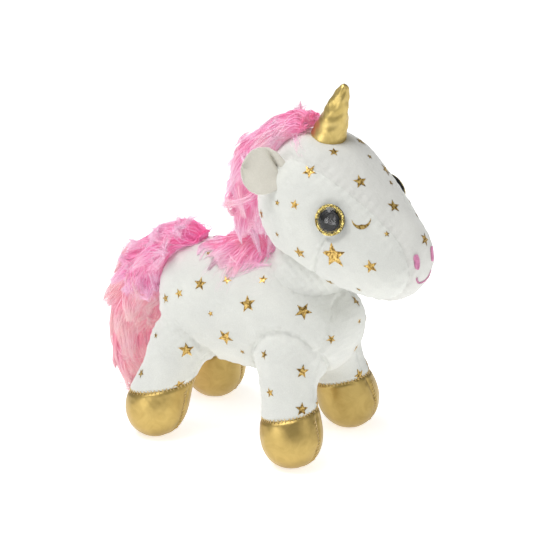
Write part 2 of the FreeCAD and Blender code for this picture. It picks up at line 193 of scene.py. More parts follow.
def velour(name, light, shade):
    """Short-pile velour: a fine nap, faint ribs and soft patches where the pile has been brushed."""
    s = Shader(name)
    brushed = s.noise(38, detail=4, distortion=0.6)
    nap = s.noise(2600, detail=2)
    ribs = s.noise(1.0, detail=2, vector=s.stretched((900, 900, 60)))
    tone = s.ramp(brushed, [(0.32, shade), (0.68, light)])
    pile = s.ramp(nap, [(0.3, (0.86, 0.86, 0.85)), (0.7, 1)])
    s.set(Base_Color=s.mix(1.0, tone, pile, "MULTIPLY"), Roughness=s.ramp(nap, [(0.3, 0.72), (0.7, 0.9)]),
          Normal=s.bump(ribs, 0.10 * MM, 0.45, s.bump(nap, 0.12 * MM, 0.5)),
          Sheen_Weight=0.35, Sheen_Roughness=0.45, Sheen_Tint=(1, 1, 1), Specular_IOR_Level=0.25)
    return s.material


def gold_leather(name, light, dark, crinkle):
    """Metallic coated fabric: a fine grain, soft crinkles, and painted shade that darkens the colour in the
    crinkles' hollows.
    """
    s = Shader(name)
    folds_and_shade = s.noise(95, detail=5, roughness=0.62, distortion=1.2)
    grain = s.noise(1500, detail=2)
    cloudy = s.noise(40, detail=3)
    # The colour goes from dark in the crinkles' hollows to light on their crowns: painted shade.
    s.set(Base_Color=s.mix(s.times(grain, 0.25), s.ramp(folds_and_shade, [(0.3, dark), (0.62, light)]), light),
          Roughness=s.ramp(cloudy, [(0.3, 0.38), (0.7, 0.50)]), Metallic=1.0, Coat_Weight=0.15,
          Coat_Roughness=0.3, Normal=s.bump(grain, 0.07 * MM, 0.45, s.bump(folds_and_shade, crinkle, 0.6)))
    return s.material


def gold_print(name):
    """Hot-stamped foil on velour: bright and dark flakes where the pile breaks it up."""
    s = Shader(name)
    spot = s.noise(700, detail=2)
    golds = [(0.36, (0.12, 0.07, 0.02)), (0.5, (0.46, 0.29, 0.08)), (0.66, (0.78, 0.56, 0.19))]
    s.set(Base_Color=s.ramp(spot, golds), Metallic=0.9, Normal=s.bump(spot, 0.25 * MM, 0.9),
          Roughness=s.ramp(s.flakes(1500)["Distance"], [(0.1, 0.25), (0.6, 0.5)]))
    return s.material


def faux_fur(name, root, middle, tip, warmth):
    """Long pile: darker at the root, hot in the middle and pale at the tips, streaked strand by strand, with a
    faint painted glow that stands in for light shining through the hairs.
    """
    s = Shader(name)
    along = s.ramp(s.attribute("along"), [(0.0, root), (0.45, middle), (1.0, tip)])
    streak = s.ramp(s.attribute("strand"), [(0.0, (0.80, 0.72, 0.78)), (0.5, 1), (1.0, 1)])
    patch = s.ramp(s.noise(60, detail=2), [(0.42, 0), (0.68, 1)])
    warm = s.mix(patch, along, s.mix(warmth, along, (0.98, 0.72, 0.66)))
    hue = s.mix(1.0, warm, streak, "MULTIPLY")
    # The emission is a painted glow: the fur lights itself a little, standing in for light that shines through the
    # hairs.
    s.set(Base_Color=hue, Emission_Color=hue, Emission_Strength=0.17, Roughness=0.55, Sheen_Weight=0.4,
          Sheen_Roughness=0.4, Specular_IOR_Level=0.3, Sheen_Tint=(1.0, 0.85, 0.93))
    return s.material


def thread(name, light, dark):
    """Twisted embroidery or sewing thread with a soft shine."""
    s = Shader(name)
    twist = s.noise(1.0, detail=1, vector=s.stretched((2600, 2600, 2600)))
    s.set(Base_Color=s.ramp(twist, [(0.35, dark), (0.65, light)]), Roughness=0.45, Sheen_Weight=0.3,
          Normal=s.bump(twist, 0.1 * MM, 0.5))
    return s.material


def clear_dome(name):
    """Clear plastic with a few fine scratches."""
    s = Shader(name)
    s.set(Base_Color=(1, 1, 1), Transmission_Weight=1.0, IOR=1.4,
          Roughness=s.ramp(s.noise(900, detail=2), [(0.45, 0.005), (0.8, 0.03)]))
    return s.material


def glitter(name):
    """Gold glitter in dark varnish."""
    s = Shader(name)
    sparkle = s.feed(s.node("ShaderNodeSeparateColor"), Color=s.flakes(2100)["Color"]).outputs
    golds = [(0.25, (0.03, 0.02, 0.005)), (0.55, (0.30, 0.21, 0.05)), (0.9, (0.85, 0.70, 0.22))]
    s.set(Base_Color=s.ramp(sparkle[0], golds), Metallic=0.75, Roughness=0.28,
          Normal=s.bump(sparkle[1], 0.3 * MM, 0.8))
    return s.material


def plain_plastic(name, light, dark, roughness, coat):
    s = Shader(name)
    mottle = s.noise(420, detail=3)
    s.set(Base_Color=s.ramp(mottle, [(0.35, dark), (0.65, light)]), Roughness=roughness, Coat_Weight=coat,
          Coat_Roughness=0.05, Normal=s.bump(mottle, 0.03 * MM, 0.2))
    return s.material


MATERIALS = {
    "white": velour("velour_white", (0.82, 0.83, 0.78), (0.76, 0.77, 0.73)),
    # The blaze panel is the white velour made a little greyer: painted shade that stands in for the different
    # sheen of its nap.
    "blaze": velour("velour_blaze", (0.79, 0.79, 0.75), (0.73, 0.73, 0.69)),
    "lining": velour("velour_ear_lining", (0.78, 0.75, 0.66), (0.70, 0.67, 0.59)),
    # The second colour of each gold leather is its painted shade for the crinkles' hollows.
    "boot": gold_leather("gold_boot_leather", (0.50, 0.36, 0.12), (0.41, 0.29, 0.09), 0.06 * MM),
    "horn": gold_leather("gold_horn_leather", (0.64, 0.49, 0.18), (0.46, 0.34, 0.10), 0.2 * MM),
    "print": gold_print("gold_foil_print"),
    "mane": faux_fur("fur_mane", (0.90, 0.27, 0.50), (0.93, 0.42, 0.64), (0.93, 0.74, 0.84), 0.3),
    "tail": faux_fur("fur_tail", (0.92, 0.20, 0.48), (0.94, 0.32, 0.59), (0.93, 0.70, 0.83), 0.15),
    "tail_low": faux_fur("fur_tail_low", (0.90, 0.30, 0.48), (0.92, 0.47, 0.58), (0.91, 0.70, 0.72), 0.4),
    "pink_thread": thread("pink_embroidery", (0.86, 0.36, 0.58), (0.72, 0.22, 0.44)),
    "gold_thread": thread("gold_stitching", (0.86, 0.66, 0.30), (0.55, 0.36, 0.10)),
    "dome": clear_dome("eye_clear"),
    "glitter": glitter("eye_glitter"),
    "pupil": plain_plastic("eye_black", (0.004, 0.004, 0.005), (0.002, 0.002, 0.002), 0.25, 0.0),
    "nylon": plain_plastic("moulded_nylon", (0.8, 0.8, 0.76), (0.72, 0.72, 0.68), 0.5, 0.2),
    "tape": thread("woven_backing", (0.86, 0.52, 0.66), (0.76, 0.40, 0.56)),
}


# --- mesh helpers ---
def linked(name, data):
    made = bpy.data.objects.new(name, data)
    bpy.context.scene.collection.objects.link(made)
    return made


def mesh_object(name, bm):
    mesh = bpy.data.meshes.new(name)
    bm.to_mesh(mesh)
    bm.free()
    return linked(name, mesh)


def opened(mesh):
    bm = bmesh.new()
    bm.from_mesh(mesh)
    return bm


def thickened(mesh, growth, merging):
    """A mesh with its split vertices merged, and every vertex moved out along its normal."""
    bm = opened(mesh)
    bmesh.ops.remove_doubles(bm, verts=bm.verts, dist=merging)
    bm.normal_update()
    for vertex, normal in [(v, v.normal.copy()) for v in bm.verts]:
        vertex.co += normal * growth
    return bm


def coordinates(mesh):
    flat = np.empty(len(mesh.vertices) * 3)
    mesh.vertices.foreach_get("co", flat)
    return flat.reshape(-1, 3)


def set_coordinates(mesh, points):
    mesh.vertices.foreach_set("co", np.asarray(points).ravel())
    mesh.update()


def normals_of(mesh):
    return np.array([v.normal for v in mesh.vertices])


def finished(obj, material, body=None, replaces=()):
    obj.data.materials.clear()
    obj.data.materials.append(MATERIALS[material])
    obj.data.polygons.foreach_set("use_smooth", [True] * len(obj.data.polygons))
    if replaces:
        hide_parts(*replaces)
    if body:
        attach(obj, body)
    return obj


def applied(obj):
    """Bakes an object's modifiers into its mesh."""
    graph = bpy.context.evaluated_depsgraph_get()
    mesh = bpy.data.meshes.new_from_object(obj.evaluated_get(graph))
    obj.modifiers.clear()
    old, obj.data = obj.data, mesh
    bpy.data.meshes.remove(old)
    return obj


def with_modifier(obj, kind, **settings):
    modifier = obj.modifiers.new(kind.title(), kind)
    for key, value in settings.items():
        setattr(modifier, key, value)
    return applied(obj)


def refined(obj, levels):
    return with_modifier(obj, "SUBSURF", levels=levels, render_levels=levels)


def merged_form(name, nodes, growth, voxel, smoothing):
    """One closed form round several CAD solids, grown a little so that they join."""
    bm = bmesh.new()
    for node in nodes:
        part = thickened(frame["nodes"][node].data, growth, 0.02 * MM)
        copy = bpy.data.meshes.new("part")
        part.to_mesh(copy)
        part.free()
        bm.from_mesh(copy)
        bpy.data.meshes.remove(copy)
    form = with_modifier(mesh_object(name, bm), "REMESH", mode="VOXEL", voxel_size=voxel)
    keep_largest(form)
    return with_modifier(form, "SMOOTH", factor=0.5, iterations=smoothing)


def keep_largest(obj):
    """Leaves only the largest connected piece of an object's mesh."""
    bm = opened(obj.data)
    left, islands = set(bm.verts), []
    while left:
        front, island = [left.pop()], []
        while front:
            vertex = front.pop()
            island.append(vertex)
            for edge in vertex.link_edges:
                other = edge.other_vert(vertex)
                if other in left:
                    left.remove(other)
                    front.append(other)
        islands.append(island)
    islands.sort(key=len)
    for island in islands[:-1]:
        bmesh.ops.delete(bm, geom=island, context="VERTS")
    bm.to_mesh(obj.data)
    bm.free()


def puffed(obj, cap, held):
    """Inflates a form with the cloth simulation by cap at most; held gives each vertex's hold, 0 to 1."""
    before = coordinates(obj.data)
    group = obj.vertex_groups.new(name="held")
    for index, weight in enumerate(held(before)):
        if weight > 0:
            group.add([index], float(weight), "REPLACE")
    modifier = obj.modifiers.new("Cloth", "CLOTH")
    cloth = modifier.settings
    cloth.vertex_group_mass = "held"
    cloth.use_pressure = True
    cloth.uniform_pressure_force = PRESSURE
    cloth.effector_weights.gravity = 0
    cloth.tension_stiffness = CLOTH_STIFFNESS
    cloth.compression_stiffness = CLOTH_STIFFNESS
    cloth.bending_stiffness = CLOTH_BENDING
    modifier.point_cache.frame_end = PUFF_FRAMES
    for moment in range(1, PUFF_FRAMES + 1):
        bpy.context.scene.frame_set(moment)
    graph = bpy.context.evaluated_depsgraph_get()
    after = coordinates(obj.evaluated_get(graph).data)
    obj.modifiers.clear()
    obj.vertex_groups.clear()
    move = after - before
    length = np.linalg.norm(move, axis=1, keepdims=True)
    move *= np.minimum(1, cap / np.maximum(length, 1e-9))
    set_coordinates(obj.data, before + move)
    bpy.context.scene.frame_set(1)


def cut_along(bm, value):
    """Cuts a triangle mesh along the surface where value is zero."""
    points = np.array([v.co for v in bm.verts])
    at = dict(zip(bm.verts, value(points)))
    for edge in list(bm.edges):
        a, b = edge.verts
        if at[a] * at[b] < 0:
            share = at[a] / (at[a] - at[b])
            if share < CUT_SNAP:
                at[a] = 0.0
            elif share > 1 - CUT_SNAP:
                at[b] = 0.0
            else:
                _, new = bmesh.utils.edge_split(edge, a, share)
                at[new] = 0.0
    for face in list(bm.faces):
        zeros = [v for v in face.verts if at[v] == 0.0]
        if len(zeros) == 2 and not any(e.other_vert(zeros[0]) is zeros[1] for e in zeros[0].link_edges):
            bmesh.utils.face_split(face, zeros[0], zeros[1])
    bmesh.ops.triangulate(bm, faces=[f for f in bm.faces if len(f.verts) > 3])
    bm.verts.index_update()
    bm.verts.ensure_lookup_table()


def part_of(source, name, chosen):
    """A new object from the chosen faces of a mesh, as a shell one fabric thick."""
    bm = opened(source)
    bm.faces.ensure_lookup_table()
    bmesh.ops.delete(bm, geom=[bm.faces[i] for i in np.flatnonzero(~chosen)], context="FACES")
    made = mesh_object(name, bm)
    return with_modifier(made, "SOLIDIFY", thickness=FABRIC, offset=-1.0, use_even_offset=False)


# a sewn line on a form: where value is zero and inside is true
Seam = namedtuple("Seam", "value inside sink width pucker", defaults=(None, SEAM_SINK, SEAM_WIDTH, 0.35 * MM))


def sunk(mesh, seams):
    """Draws a form in along its seams, with small puckers beside them."""
    points = coordinates(mesh)
    x, y, z = points.T / PUCKER_PITCH
    wave = np.sin(x * 5.3 + y * 4.1) * np.sin(z * 5.9 + y * 2.7)
    depth = np.zeros(len(points))
    for seam in seams:
        distance = np.abs(seam.value(points))
        near = np.exp(-(distance / seam.width) ** 2)
        wide = np.exp(-(distance / (3.2 * seam.width)) ** 2)
        effect = seam.sink * near + seam.pucker * wide * (wave + 0.4)
        if seam.inside is not None:
            effect = effect * seam.inside(points)
        depth = np.maximum(depth, effect)
    set_coordinates(mesh, points - normals_of(mesh) * depth[:, None])


def step(x, softness=2.0 * MM):
    """0 well below zero, 1 well above it."""
    return 1 / (1 + np.exp(-np.clip(x / softness * 4, -30, 30)))


def wrinkled(mesh, amount, scale, seed, share_at=None):
    """Low dents and swellings of hand-stuffed fabric."""
    local = np.random.default_rng(seed)
    points = coordinates(mesh)
    height = np.zeros(len(points))
    for octave in range(4):
        frequency = 2 ** octave / scale
        direction = local.normal(size=(3, 3))
        phase = local.uniform(0, 2 * math.pi, 3)
        waves = np.sin(points @ direction.T * frequency + phase)
        height += waves.prod(axis=1) / (1.6 ** octave)
    if share_at is not None:
        height *= share_at(points)
    set_coordinates(mesh, points + normals_of(mesh) * (amount * height)[:, None])


# --- the body: one stuffed form, divided along its seams ---
# where the legs are sewn on: x, z and radius, in millimetres
ARCHES = {"front": ((30, 67), 25.0), "hind": ((-52, 60), 24.5)}
HOOF_TOP, BOOT_TILT = 17.0 * MM, math.radians(13)
NECK_SEAM = 27.6 * MM
# heights and half widths of the chest panel
CHEST = ((50, 16), (64, 24), (78, 30), (95, 22), (110, 7.5), (122, 3))
BELLY_HALF_WIDTH, BELLY_REAR = 16, -60
# distances from the neck to the nose and half widths of the panel over the crown and the nose
BLAZE = ((8, 22), (34, 26), (52, 27), (68, 25), (80, 21.5), (92, 17.5), (103, 14.5), (122, 13.5))
CHIN_HALF_WIDTH = 13.5


def axis_of(pair, side):
    return (hoof_of(pair, side) - hip_of(pair, side)).normalized()


def along_and_off(points, pair, side, centre):
    """How far points are down a leg's axis from centre, and how far off it."""
    axis = np.array(axis_of(pair, side))
    away = points - np.array(centre)
    along = away @ axis
    return along, np.linalg.norm(away - along[:, None] * axis, axis=1)


def arch_value(pair, side):
    """Below zero inside the seam that joins a leg to the torso."""
    (x, z), radius = ARCHES[pair]
    centre = Vector((x * MM, hip_of(pair, side).y, z * MM))

    def value(points):
        along, off = along_and_off(points, pair, side, centre)
        reach = np.where(along < 0, np.hypot(along, off), off)
        return reach - radius * MM - 0.1 * np.maximum(along, 0)
    return value


def boot_value(pair, side):
    """Below zero in the boot of a leg."""
    hoof = hoof_of(pair, side)
    seam = np.array(hoof - axis_of(pair, side) * HOOF_TOP)
    normal = np.array((-math.sin(BOOT_TILT), 0, math.cos(BOOT_TILT)))

    def value(points):
        _, off = along_and_off(points, pair, side, hoof)
        return np.maximum((points - seam) @ normal, off - 30 * MM)
    return value


def outward_value(pair, side):
    """Above zero on the outer half of a leg."""
    outward = Vector((1, 0, 0)).cross(axis_of(pair, side)) * -SIDES[side]
    outward = outward if outward.y * SIDES[side] > 0 else -outward
    hip = np.array(hip_of(pair, side))
    return lambda points: (points - hip) @ np.array(outward)


def neck_value(points):
    """Below zero in the neck's cover."""
    return np.linalg.norm(points - np.array(NECK), axis=1) - NECK_SEAM


def belly_value(points):
    """Below zero in the panel that runs along the belly and widens up the chest."""
    x, y, z = points.T / MM
    chest = np.interp(z, *zip(*CHEST))
    front = np.clip((x - 20) / 25, 0, 1)
    half_width = BELLY_HALF_WIDTH + (chest - BELLY_HALF_WIDTH) * front
    return np.maximum.reduce([np.abs(y) - half_width, BELLY_REAR - x, z - np.where(x > 45, 140, 92)]) * MM


def middle_value(points):
    return points[:, 1]


def near_leg(points):
    return np.minimum.reduce([arch_value(*leg)(points) for leg in LEGS])


def off_legs(points):
    return step(near_leg(points))


def body_seams():
    seams = [Seam(neck_value, sink=1.6 * MM), Seam(belly_value, off_legs)]
    seams.append(Seam(middle_value, lambda p: step(belly_value(p)) * off_legs(p) * step(p[:, 2] - 80 * MM)))
    for leg in LEGS:
        arch = arch_value(*leg)
        seams.append(Seam(arch, sink=2.3 * MM, width=1.7 * MM, pucker=0.4 * MM))
        seams.append(Seam(boot_value(*leg), sink=1.3 * MM, width=1.3 * MM, pucker=0.1 * MM))
        seams.append(Seam(outward_value(*leg), lambda p, arch=arch: step(-arch(p)), sink=0.8 * MM,
                          width=1.2 * MM, pucker=0.08 * MM))
    return seams


def held_down(points):
    """The soles, the boots and the neck hold their shape while the body swells."""
    low = 1 - step(points[:, 2] - 42 * MM, 8 * MM)
    return np.maximum(low, 1 - step(neck_value(points), 8 * MM))


def make_body_form():
    stuffings = ["torso_stuffing", "neck_stuffing"] + [f"{pair}_{side}_stuffing" for pair, side in LEGS]
    form = merged_form("body_form", stuffings, 1.6 * MM, BODY_VOXEL, 12)
    puffed(form, 1.6 * MM, held_down)
    refined(form, 2)
    wrinkled(form.data, 0.45 * MM, 9 * MM, 3, lambda p: 0.15 + 0.85 * step(p[:, 2] - 38 * MM, 10 * MM))
    sunk(form.data, body_seams())
    points = coordinates(form.data)
    points[:, 2] = np.maximum(points[:, 2], 0.2 * MM)
    set_coordinates(form.data, points)
    return form


def divided(form, values):
    """A triangle mesh of the form, cut along every value, and its faces' centres."""
    bm = opened(form.data)
    bmesh.ops.triangulate(bm, faces=bm.faces)
    for value in values:
        cut_along(bm, value)
    mesh = bpy.data.meshes.new(form.name + "_cut")
    bm.to_mesh(mesh)
    bm.free()
    return mesh, np.array([p.center for p in mesh.polygons])


def surface_of(mesh):
    faces = [tuple(p.vertices) for p in mesh.polygons]
    return BVHTree.FromPolygons([v.co.copy() for v in mesh.vertices], faces)


def blended(obj):
    """Bakes a piece of a leg's placement into its mesh."""
    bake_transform(obj)


def make_body(form):
    values = [neck_value, belly_value, middle_value]
    for leg in LEGS:
        values += [arch_value(*leg), boot_value(*leg), outward_value(*leg)]
    mesh, centres = divided(form, values)
    neck = neck_value(centres) < 0
    left_over = ~neck
    piece = finished(part_of(mesh, "neck_sewn_cover", neck), "white", "neck",
                     ("neck_cover", "neck_stuffing"))
    for pair, side in LEGS:
        leg = left_over & (arch_value(pair, side)(centres) < 0)
        boot = left_over & (boot_value(pair, side)(centres) < 0)
        outside = outward_value(pair, side)(centres) > 0
        left_over &= ~(leg | boot)
        for name, chosen in (("outer", outside), ("inner", ~outside)):
            make_leg_pieces(mesh, f"{pair}_{side}_{name}", leg & ~boot & chosen, boot & chosen, pair, side)
    belly = left_over & (belly_value(centres) < 0)
    panels = {"belly_gusset": belly, "torso_left_panel": left_over & ~belly & (centres[:, 1] > 0),
              "torso_right_panel": left_over & ~belly & (centres[:, 1] < 0)}
    for node, chosen in panels.items():
        nodes = (node, "torso_stuffing") if node == "belly_gusset" else (node,)
        piece = part_of(mesh, "sewn_" + node, chosen)
        finished(piece, "white", "torso", nodes)


def make_leg_pieces(mesh, label, shin, boot, pair, side):
    shin_piece = finished(part_of(mesh, label + "_shin", shin), "white",
                          replaces=(label + "_shin_panel",))
    if label.endswith("outer"):
        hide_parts(f"{pair}_{side}_stuffing")
    blended(shin_piece)
    boot_piece = finished(part_of(mesh, label + "_boot", boot), "boot",
                          f"leg_{pair}_{side}", (label + "_boot_panel",))


# --- the head ---
EYE_DENT = 0.9 * MM


def unplaced(points):
    """Points in the frame of a head that looks straight ahead."""
    matrix = np.array(HEAD_UNPLACE)
    return points @ matrix[:3, :3].T + matrix[:3, 3]


def blaze_value(points):
    """Below zero in the panel over the crown, the nose and the chin."""
    x, y, z = unplaced(points).T / MM
    half_width = np.where(z > 145, np.interp(x, *zip(*BLAZE)), CHIN_HALF_WIDTH)
    return np.maximum(np.abs(y) - half_width, 8 - x) * MM


def head_middle_value(points):
    return unplaced(points)[:, 1]


def dart_value(points):
    """Zero on the dart that runs from the eye down and back over the cheek."""
    x, _, z = unplaced(points).T / MM
    return ((x - 66.7) * 0.883 - (z - 160.6) * 0.470) * MM


def dart_inside(points):
    _, y, z = unplaced(points).T
    return step(z - 127 * MM) * step(163 * MM - z) * step(np.abs(y) - 18 * MM)


def middle_of(node):
    low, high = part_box(node)
    return (low + high) / 2


def eye_seats():
    """Each eye's place on the cheek and the way that it looks, from its pupil and its washer."""
    for side in SIDES:
        seat = middle_of(f"{side}_eye_pupil")
        yield seat, (seat - middle_of(f"{side}_eye_washer")).normalized()


def swell(mesh, centre, direction, amount, reach):
    """Pushes the part of a form near centre out along direction."""
    points = coordinates(mesh)
    off = np.linalg.norm(points - np.array(centre), axis=1)
    push = amount * np.exp(-(off / reach) ** 2)
    set_coordinates(mesh, points + push[:, None] * np.array(direction))


def make_head_form():
    form = merged_form("head_form", ["head_stuffing"], 1.4 * MM, HEAD_VOXEL, 10)
    puffed(form, 1.2 * MM, lambda p: 1 - step(np.linalg.norm(p - np.array(NECK), axis=1) - 34 * MM, 8 * MM))
    refined(form, 2)
    wrinkled(form.data, 0.4 * MM, 11 * MM, 5)
    out_and_up = HEAD_PLACE.to_3x3() @ Vector((0.75, 0, 0.66))
    swell(form.data, HEAD_PLACE @ mm(112, 0, 163), out_and_up, 5.0 * MM, 14 * MM)
    seams = [Seam(blaze_value, pucker=0.3 * MM), Seam(head_middle_value, lambda p: step(blaze_value(p))),
             Seam(dart_value, dart_inside, sink=1.5 * MM, width=1.4 * MM, pucker=0.3 * MM)]
    sunk(form.data, seams)
    points = coordinates(form.data)
    for seat, normal in eye_seats():
        seat, normal = np.array(seat), np.array(normal)
        away = points - seat
        off = np.linalg.norm(away - (away @ normal)[:, None] * normal, axis=1)
        near = step(13 * MM - off, 4 * MM) * (np.linalg.norm(away, axis=1) < 25 * MM)
        points -= normal * (EYE_DENT * near)[:, None]
    set_coordinates(form.data, points)
    return form


def make_head(form):
    mesh, centres = divided(form, [blaze_value, head_middle_value])
    blaze = blaze_value(centres) < 0
    left = head_middle_value(centres) > 0
    panels = {"head_gusset": (blaze, "blaze", ("head_gusset",)),
              "head_left_panel": (~blaze & left, "white", ("head_left_panel",)),
              "head_right_panel": (~blaze & ~left, "white", ("head_right_panel", "head_stuffing"))}
    for node, (chosen, material, nodes) in panels.items():
        piece = part_of(mesh, "sewn_" + node, chosen)
        finished(piece, material, "head", nodes)


# --- thread: stitches, embroidery ---
def turned(across, other, angle):
    return across * math.cos(angle) + other * math.sin(angle)


def strip(bm, a, b, closed):
    """Faces between two rows of vertices, which may be rings."""
    count = len(a)
    for k in range(count if closed else count - 1):
        bm.faces.new((a[k], a[(k + 1) % count], b[(k + 1) % count], b[k]))


def sewn(name, paths, radius, material, body, nodes=(), sides=6):
    """One mesh of round threads closed at both ends; a path with a missing point is left out."""
    bm = bmesh.new()
    turns = [2 * math.pi * k / sides for k in range(sides)]
    for path in [p for p in paths if None not in p]:
        rings = []
        for i, point in enumerate(path):
            along = (path[min(i + 1, len(path) - 1)] - path[max(i - 1, 0)]).normalized()
            across = along.orthogonal().normalized()
            other = along.cross(across)
            thick = radius * (0.45 if i in (0, len(path) - 1) else 1.0)
            ring = [point + turned(across, other, angle) * thick for angle in turns]
            rings.append([bm.verts.new(place) for place in ring])
        for a, b in zip(rings, rings[1:]):
            strip(bm, a, b, True)
        bm.faces.new(reversed(rings[0]))
        bm.faces.new(rings[-1])
    bmesh.ops.recalc_face_normals(bm, faces=bm.faces)
    finished(mesh_object(name, bm), material, body, nodes)


def onto(surface, point, direction, lift):
    """Where a line from point hits a surface, lifted off it, or None."""
    hit, normal, _, _ = surface.ray_cast(point, direction)
    return None if hit is None else hit + normal * lift


def boot_stitches(surface, pair, side):
    """The stitches round the top of a boot."""
    hoof, axis = hoof_of(pair, side), axis_of(pair, side)
    seam = hoof - axis * HOOF_TOP
    fore = Vector((math.cos(BOOT_TILT), 0, math.sin(BOOT_TILT)))
    across = Vector((-math.sin(BOOT_TILT), 0, math.cos(BOOT_TILT))).cross(fore)
    paths = []
    count = 46
    for i in range(count):
        turn = 2 * math.pi * (i + 0.3 * rng.random()) / count
        outward = turned(fore, across, turn)
        down = Vector((0, 0, -1)) + turned(across, -fore, turn) * 0.35
        starts = [seam + outward * 45 * MM + down * k * 1.3 * MM for k in (-1.0, -0.3, 0.4, 1.1)]
        paths.append([onto(surface, start, -outward, 0.25 * MM) for start in starts])
    sewn(f"{pair}_{side}_boot_stitches", paths, 0.42 * MM, "gold_thread", f"leg_{pair}_{side}")


def front_boot_stitches(surface, pair, side):
    """The sewn line down the front of a boot."""
    hoof = hoof_of(pair, side)
    paths = []
    for i in range(13):
        height = (33 - 2.2 * i) * MM
        starts = [Vector((hoof.x + 60 * MM, hoof.y + k * 1.1 * MM, height + k * 0.5 * MM))
                  for k in (-1, -0.3, 0.3, 1)]
        paths.append([onto(surface, start, Vector((-1, 0, 0)), 0.15 * MM) for start in starts])
    sewn(f"{pair}_{side}_toe_stitches", paths, 0.35 * MM, "gold_thread", f"leg_{pair}_{side}")


def nose_point(surface, y, z, lift):
    """The point on the nose at y and z, seen from the front, for a head that looks straight ahead."""
    start = HEAD_PLACE @ mm(178, y, z)
    return onto(surface, start, HEAD_PLACE.to_3x3() @ Vector((-1, 0, 0)), lift * MM)


def embroidery(surface):
    """The nostrils and the mouth, in rows of satin stitch."""
    paths = []
    for side in SIDES.values():
        for i in range(-9, 10):
            rise = i / 9.5
            half = 2.3 * math.sqrt(1 - rise * rise)
            row = [(-1, 0.1), (-0.6, 0.75), (0, 1.0), (0.6, 0.75), (1, 0.1)]
            paths.append([nose_point(surface, side * 8.75 + k * half, 148 + rise * 4.8, lift)
                          for k, lift in row])
    sewn("nostril_satin", paths, 0.34 * MM, "pink_thread", "head", ("nostril_stitching",))
    paths = []
    for i in range(37):
        turn = math.radians(-160 + 140 * i / 36)
        row = [(8.3, 0.1), (8.6, 0.5), (9.0, 0.5), (9.3, 0.1)]
        paths.append([nose_point(surface, reach * math.cos(turn), 140 + reach * math.sin(turn), lift)
                      for reach, lift in row])
    sewn("mouth_satin", paths, 0.28 * MM, "pink_thread", "head", ("mouth_stitching",))


# --- printed stars ---
STAR_SIZES = {"XL": 9.4, "L": 6.0, "M": 4.9, "S": 3.5, "T": 2.2}
HEAD_STARS = [
    (73, -36, 151, "XL"), (50, -30, 201, "M"), (58, -14, 211, "S"), (78, -14, 195, "M"), (85, 10, 188, "T"),
    (71, 7, 204, "T"), (45, -39, 180, "S"), (31, -38, 178, "T"), (95, -2, 178, "M"), (30, -36, 156, "T"),
    (47, -36, 147, "M"), (97, -30, 147, "M"), (113, 2, 158, "M"), (101, -18, 166, "T"), (85, -25, 127, "T"),
    (60, 16, 210, "S"), (88, 24, 172, "S"), (20, -33, 190, "M"), (15, -30, 165, "S"), (62, -28, 122, "S"),
]
MOON, MOON_SIZE = (88, -27, 172.5), 6.4
BODY_STARS = [
    (-36, -16, 124, "T"), (-33, -32, 109, "M"), (-15, -28, 114, "S"), (9, -23, 117, "S"), (60, 8, 102, "M"),
    (-60, -31, 93, "S"), (4, -34, 103, "L"), (41, -27, 103, "L"), (-11, -37, 78, "L"), (0, -34, 69, "T"),
    (59, -23, 86, "S"), (65, 4, 90, "T"), (34, -36, 90, "T"), (-68, -12, 104, "M"), (-72, -18, 84, "S"),
    (60, 8, 69, "S"), (0, -12, 48, "M"), (-30, -6, 49, "S"), (-22, -36, 92, "T"), (-48, -34, 100, "S"),
]
LEG_STARS = {
    "front": [(21, -44, 75, "S"), (46, -37, 66, "M"), (29, -49, 52, "S"), (50, -44, 43, "M"),
              (18, -34, 48, "T"), (52, -28, 41, "M")],
    "hind": [(-38, -41, 65, "L"), (-61, -43, 71, "T"), (-69, -47, 44, "S"), (-42, -43, 39, "M"),
             (-72, -30, 58, "S")],
}


def star_outline(size):
    """A five-pointed star with slightly rounded arms, as points in its own plane."""
    corners = [(size if k % 2 == 0 else size * 0.42, math.pi * k / 5) for k in range(10)]
    flat = [(r * math.cos(a), r * math.sin(a)) for r, a in corners]
    sides = zip(flat, flat[1:] + flat[:1])
    return [tuple(p + (q - p) * t for p, q in zip(a, b)) for a, b in sides for t in (0, 0.34, 0.67)]


def printed(bm, surface, place):
    """A new vertex of the print, over the nearest point of a surface."""
    point, normal = surface.find_nearest(place)[:2]
    return bm.verts.new(point + normal * FOIL_LIFT)


def foil_moon(bm, surface, centre, size):
    """A crescent whose horns point up, laid on a surface as a very thin printed layer."""
    spot, normal = surface.find_nearest(centre)[:2]
    right = normal.cross(Vector((0, 0, 1))).normalized()
    up = normal.cross(right) * -1
    rows = []
    for k in range(25):
        turn = math.radians(-172 + 164 * k / 24)
        thick = 0.95 * math.sin(math.pi * k / 24)
        row = []
        for share in (1.0, 1 - thick / 2, 1 - thick):
            offset = right * size * math.cos(turn) + up * size * (0.75 + 1.25 * math.sin(turn))
            offset = right * offset.dot(right) * (0.35 + 0.65 * share) + up * offset.dot(up) * share
            row.append(printed(bm, surface, spot + offset * MM))
        rows.append(row)
    for a, b in zip(rows, rows[1:]):
        strip(bm, a, b, False)


